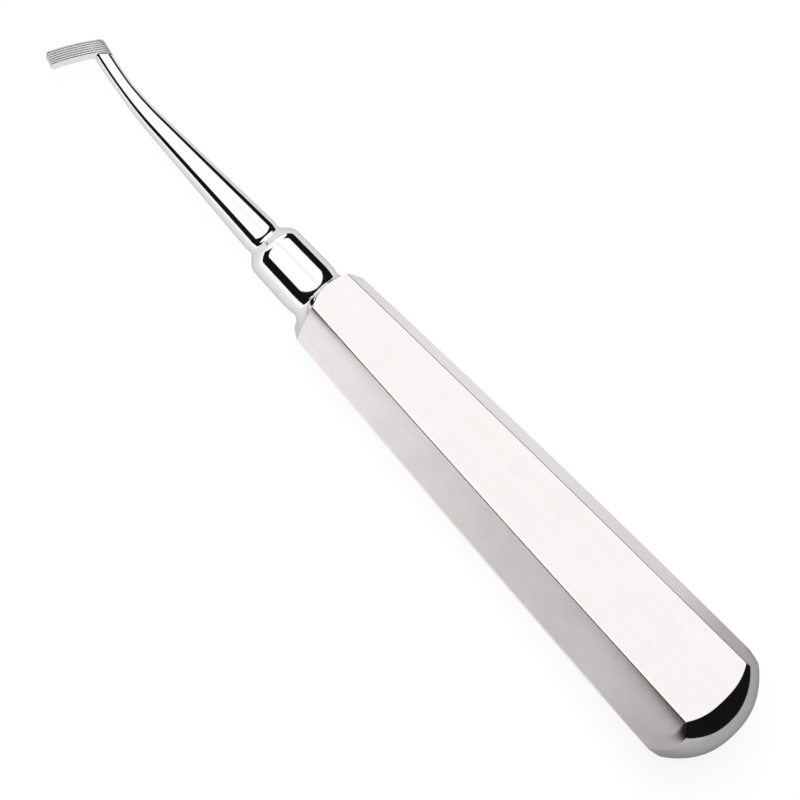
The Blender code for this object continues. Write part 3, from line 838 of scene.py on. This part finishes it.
body_finish = np.full((len(body_rows) - 1, COLUMNS), MIRROR)
ridge_columns = (cross == 0) & (turn < 1) & np.isin(corner, (1, 2, 4, 5))
body_finish[len(dome):len(dome) + len(bar) - 1, ~ridge_columns] = SATIN
body_finish = np.concatenate([body_finish.ravel(), np.full(COLUMNS + 1, MIRROR)])
sole_columns = GROOVE_COUNT * GROOVE_POINTS + 2
foot_finish = np.full((len(foot) - 1, foot.shape[1]), MIRROR)
foot_finish[:, :sole_columns] = GROUND
# Faces deep in each groove: the mask of the painted shade at the grooves' bottoms.
painted_shade_columns = foot_profile()[:sole_columns, 1] < -PAINTED_SHADE_DEPTH_SHARE * GROOVE_DEPTH
foot_finish[:, :sole_columns][:, painted_shade_columns] = GROOVE_PAINTED_SHADE
foot_finish = np.concatenate([foot_finish.ravel(), [MIRROR, MIRROR]])

for piece, numbers in ((body, body_finish), (foot_piece, foot_finish)):
    for material in finishes:
        piece.data.materials.append(material)
    piece.data.polygons.foreach_set("material_index", numbers.astype(np.int32))
satin_count, ground_count = (body_finish == SATIN).sum(), (foot_finish == GROUND).sum()
print("satin faces", int(satin_count), "ground faces", int(ground_count))

# %% [markdown]
# The union cuts the foot into the end of the shank. The solver has lost one of the two skins at some
# counts of rows, so the result is kept only if it has nearly all of their faces, and otherwise the next
# option is tried. It is written back as a plain mesh, and the foot on its own is taken away.

# %% One piece
LOST_FACES = 1000
SOLVER_OPTIONS = ((False, False), (False, True), (True, False), (True, True))

skin_faces = len(body.data.polygons) + len(foot_piece.data.polygons)
union = body.modifiers.new("join_foot", "BOOLEAN")
union.operation = "UNION"
union.solver = "EXACT"
union.object = foot_piece
for hole_tolerant, self_crossing in SOLVER_OPTIONS:
    union.use_hole_tolerant = hole_tolerant
    union.use_self = self_crossing
    evaluated = body.evaluated_get(bpy.context.evaluated_depsgraph_get())
    joined_mesh = bpy.data.meshes.new_from_object(evaluated)
    if len(joined_mesh.polygons) > skin_faces - LOST_FACES:
        break
joined_mesh.name = "polished_pusher"
body.modifiers.clear()
body.data = joined_mesh
bpy.data.objects.remove(foot_piece, do_unlink=True)
print("union of", skin_faces, "faces has", len(joined_mesh.polygons))
print("hole tolerant", hole_tolerant, "own crossings", self_crossing)

# %% [markdown]
# Shading is smooth everywhere but at edges sharper than SHARP_ANGLE, which are the front edges of the
# handle's faces and the edges of the foot. The buffed edges in the back half of the handle are smooth
# whatever their angle.

# %% Crisp and soft edges
SHARP_ANGLE = math.radians(28)

joined_mesh.shade_smooth()
joined_mesh.set_sharp_from_angle(angle=SHARP_ANGLE)
coordinates = np.empty(3 * len(joined_mesh.vertices))
edge_ends = np.empty(2 * len(joined_mesh.edges), dtype=np.int32)
sharp = np.empty(len(joined_mesh.edges), dtype=bool)
joined_mesh.vertices.foreach_get("co", coordinates)
joined_mesh.edges.foreach_get("vertices", edge_ends)
joined_mesh.edges.foreach_get("use_edge_sharp", sharp)
foremost_x = coordinates[0::3][edge_ends].reshape(-1, 2).min(axis=1)
in_back_half = foremost_x > NECK.x + BAR_LENGTH / 2
joined_mesh.edges.foreach_set("use_edge_sharp", sharp & ~in_back_half)
counts = np.bincount([face.material_index for face in joined_mesh.polygons])
print("faces of each finish:", dict(zip(FINISH_NAMES, counts.tolist())))
print("sharp edges", int((sharp & ~in_back_half).sum()), "softened", int((sharp & in_back_half).sum()))

# %% [markdown]
# The four finishes share two effects, so each effect is a node group: a small shader of its own with named
# inputs and outputs, built once and placed in each material with its own values.
#
# The first is the grain that a belt leaves: fine lines along the tool. Noise stretched a hundredfold along
# X gives them. It puts out a height for bump and a 0 to 1 value that varies the roughness and the colour.

# %% Grain group
def new_group(name, inputs, outputs):
    """An empty shader group with number inputs, given with their defaults, and number outputs."""
    group = bpy.data.node_groups.new(name, "ShaderNodeTree")
    for label, default in inputs:
        socket = group.interface.new_socket(label, in_out="INPUT", socket_type="NodeSocketFloat")
        socket.default_value = default
    for label in outputs:
        group.interface.new_socket(label, in_out="OUTPUT", socket_type="NodeSocketFloat")
    return group, add_node(group, "NodeGroupInput"), add_node(group, "NodeGroupOutput")


def noise_along(tree, scales, detail, roughness):
    """Noise on Object coordinates, stretched by a scale for each axis. Returns its 0 to 1 output."""
    place = add_node(tree, "ShaderNodeTexCoord").outputs["Object"]
    mapping = add_node(tree, "ShaderNodeMapping")
    mapping.inputs["Scale"].default_value = scales
    tree.links.new(place, mapping.inputs["Vector"])
    noise = add_node(tree, "ShaderNodeTexNoise")
    noise.inputs["Scale"].default_value = 1
    noise.inputs["Detail"].default_value = detail
    noise.inputs["Roughness"].default_value = roughness
    tree.links.new(mapping.outputs[0], noise.inputs["Vector"])
    return noise.outputs["Fac"]


GRAIN_SCALES = (90, 5200, 5200)
STREAK_SCALES = (25, 900, 900)
grain, grain_in, grain_out = new_group("belt_grain", [("Fine share", 0.7)], ["Height", "Streak"])
fine = noise_along(grain, GRAIN_SCALES, detail=3, roughness=0.6)
broad = noise_along(grain, STREAK_SCALES, detail=4, roughness=0.55)
fine_part = joined_math(grain, "MULTIPLY", fine, grain_in.outputs["Fine share"])
broad_share = joined_math(grain, "SUBTRACT", 1.0, grain_in.outputs["Fine share"])
broad_part = joined_math(grain, "MULTIPLY", broad, broad_share)
grain.links.new(joined_math(grain, "ADD", fine_part, broad_part), grain_out.inputs["Height"])
grain.links.new(broad, grain_out.inputs["Streak"])
print("group", grain.name, "of", len(grain.nodes), "nodes")

# %% [markdown]
# The second effect is handling: soft smudges and hairline scratches from the tray. They hardly show, but
# without them polished steel looks like a drawing. Both are kept as one number, a haze that raises the
# roughness where it is high.

# %% Handling group
SMUDGE_SCALES = (160, 160, 160)
HAIRLINE_SCALES = (1100, 60, 1500)
HANDLING_INPUTS = [("Smudge", 0.5), ("Hairlines", 0.5)]
handling, handling_in, handling_out = new_group("handling", HANDLING_INPUTS, ["Haze"])
soft_noise = noise_along(handling, SMUDGE_SCALES, detail=3, roughness=0.5)
thin_noise = noise_along(handling, HAIRLINE_SCALES, detail=2, roughness=0.5)
smudge = joined_math(handling, "POWER", soft_noise, 2.0)
hairline = joined_math(handling, "POWER", thin_noise, 4.0)
smudge_part = joined_math(handling, "MULTIPLY", smudge, handling_in.outputs["Smudge"])
hairline_part = joined_math(handling, "MULTIPLY", hairline, handling_in.outputs["Hairlines"])
handling.links.new(joined_math(handling, "ADD", smudge_part, hairline_part), handling_out.inputs["Haze"])
print("group", handling.name, "of", len(handling.nodes), "nodes")

# %% [markdown]
# Now the finishes themselves. Each is bare metal with a colour a little warmer than grey. What sets them
# apart is roughness: it blurs the room's reflection, so the ground sole shows only its average and the
# satin faces show it softly, while the mirror parts show the white cloth and the dark band with crisp
# borders. The bottoms of the grooves have a dark colour as well, which is painted shade.

# %% Finishes
BUMP_DISTANCE = 0.00001
COLOUR_A, COLOUR_B, MIXED_COLOUR = 6, 7, 2


def use_group(tree, group, **values):
    """Place a group in a material and set its inputs by name, with underscores for the spaces."""
    node = add_node(tree, "ShaderNodeGroup", node_tree=group)
    for name, value in values.items():
        node.inputs[name.replace("_", " ")].default_value = value
    return node


def mix_colours(tree, factor, first, second):
    """Blend two colours by a factor. Returns the blended colour's socket. The Mix node has sockets for
    numbers, vectors and colours under the same names, so the colour ones are taken by their numbers."""
    node = add_node(tree, "ShaderNodeMix", data_type="RGBA")
    tree.links.new(factor, node.inputs["Factor"])
    node.inputs[COLOUR_A].default_value = (*first, 1)
    node.inputs[COLOUR_B].default_value = (*second, 1)
    return node.outputs[MIXED_COLOUR]


def steel(material, light, dark, rim, roughness, grain_roughness, haze_roughness, fine_share, bump):
    """Bare steel: colour and roughness vary with the grain's streaks, haze adds to the roughness, and the
    grain's height is its bump. The rim is the tint of what the steel reflects near its outline."""
    tree = material.node_tree
    shader = tree.nodes["Principled BSDF"]
    shader.inputs["Metallic"].default_value = 1
    shader.inputs["Specular Tint"].default_value = (rim, rim, rim, 1)
    lines = use_group(tree, grain, Fine_share=fine_share)
    marks = use_group(tree, handling, Smudge=1.0, Hairlines=1.0)
    tree.links.new(mix_colours(tree, lines.outputs["Streak"], dark, light), shader.inputs["Base Color"])
    streaked = joined_math(tree, "MULTIPLY", lines.outputs["Streak"], grain_roughness)
    hazed = joined_math(tree, "MULTIPLY", marks.outputs["Haze"], haze_roughness)
    blurred = joined_math(tree, "ADD", joined_math(tree, "ADD", streaked, roughness), hazed)
    tree.links.new(blurred, shader.inputs["Roughness"])
    relief = add_node(tree, "ShaderNodeBump")
    relief.inputs["Strength"].default_value = bump
    relief.inputs["Distance"].default_value = BUMP_DISTANCE
    tree.links.new(lines.outputs["Height"], relief.inputs["Height"])
    tree.links.new(relief.outputs["Normal"], shader.inputs["Normal"])


steel(
    finishes[SATIN], light=(0.865, 0.83, 0.82), dark=(0.785, 0.74, 0.73), rim=0.9,
    roughness=0.16, grain_roughness=0.06, haze_roughness=0.08, fine_share=0.7, bump=0.25)
steel(
    finishes[MIRROR], light=(0.88, 0.875, 0.87), dark=(0.85, 0.845, 0.84), rim=0.7,
    roughness=0.03, grain_roughness=0.02, haze_roughness=0.08, fine_share=0.5, bump=0.02)
steel(
    finishes[GROUND], light=(0.98, 0.97, 0.96), dark=(0.93, 0.91, 0.9), rim=0.9,
    roughness=0.5, grain_roughness=0.1, haze_roughness=0.08, fine_share=0.7, bump=0.2)
# Dark colour of the groove finish: painted shade at the bottoms of the grooves.
steel(
    finishes[GROOVE_PAINTED_SHADE], light=(0.3, 0.29, 0.29), dark=(0.16, 0.15, 0.15), rim=0.5,
    roughness=0.3, grain_roughness=0.12, haze_roughness=0.1, fine_share=0.7, bump=0.2)
print("finishes", [material.name for material in finishes])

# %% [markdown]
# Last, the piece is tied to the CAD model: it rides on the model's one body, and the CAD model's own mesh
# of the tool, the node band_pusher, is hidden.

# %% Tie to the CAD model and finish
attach(body, "root")
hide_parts("band_pusher")
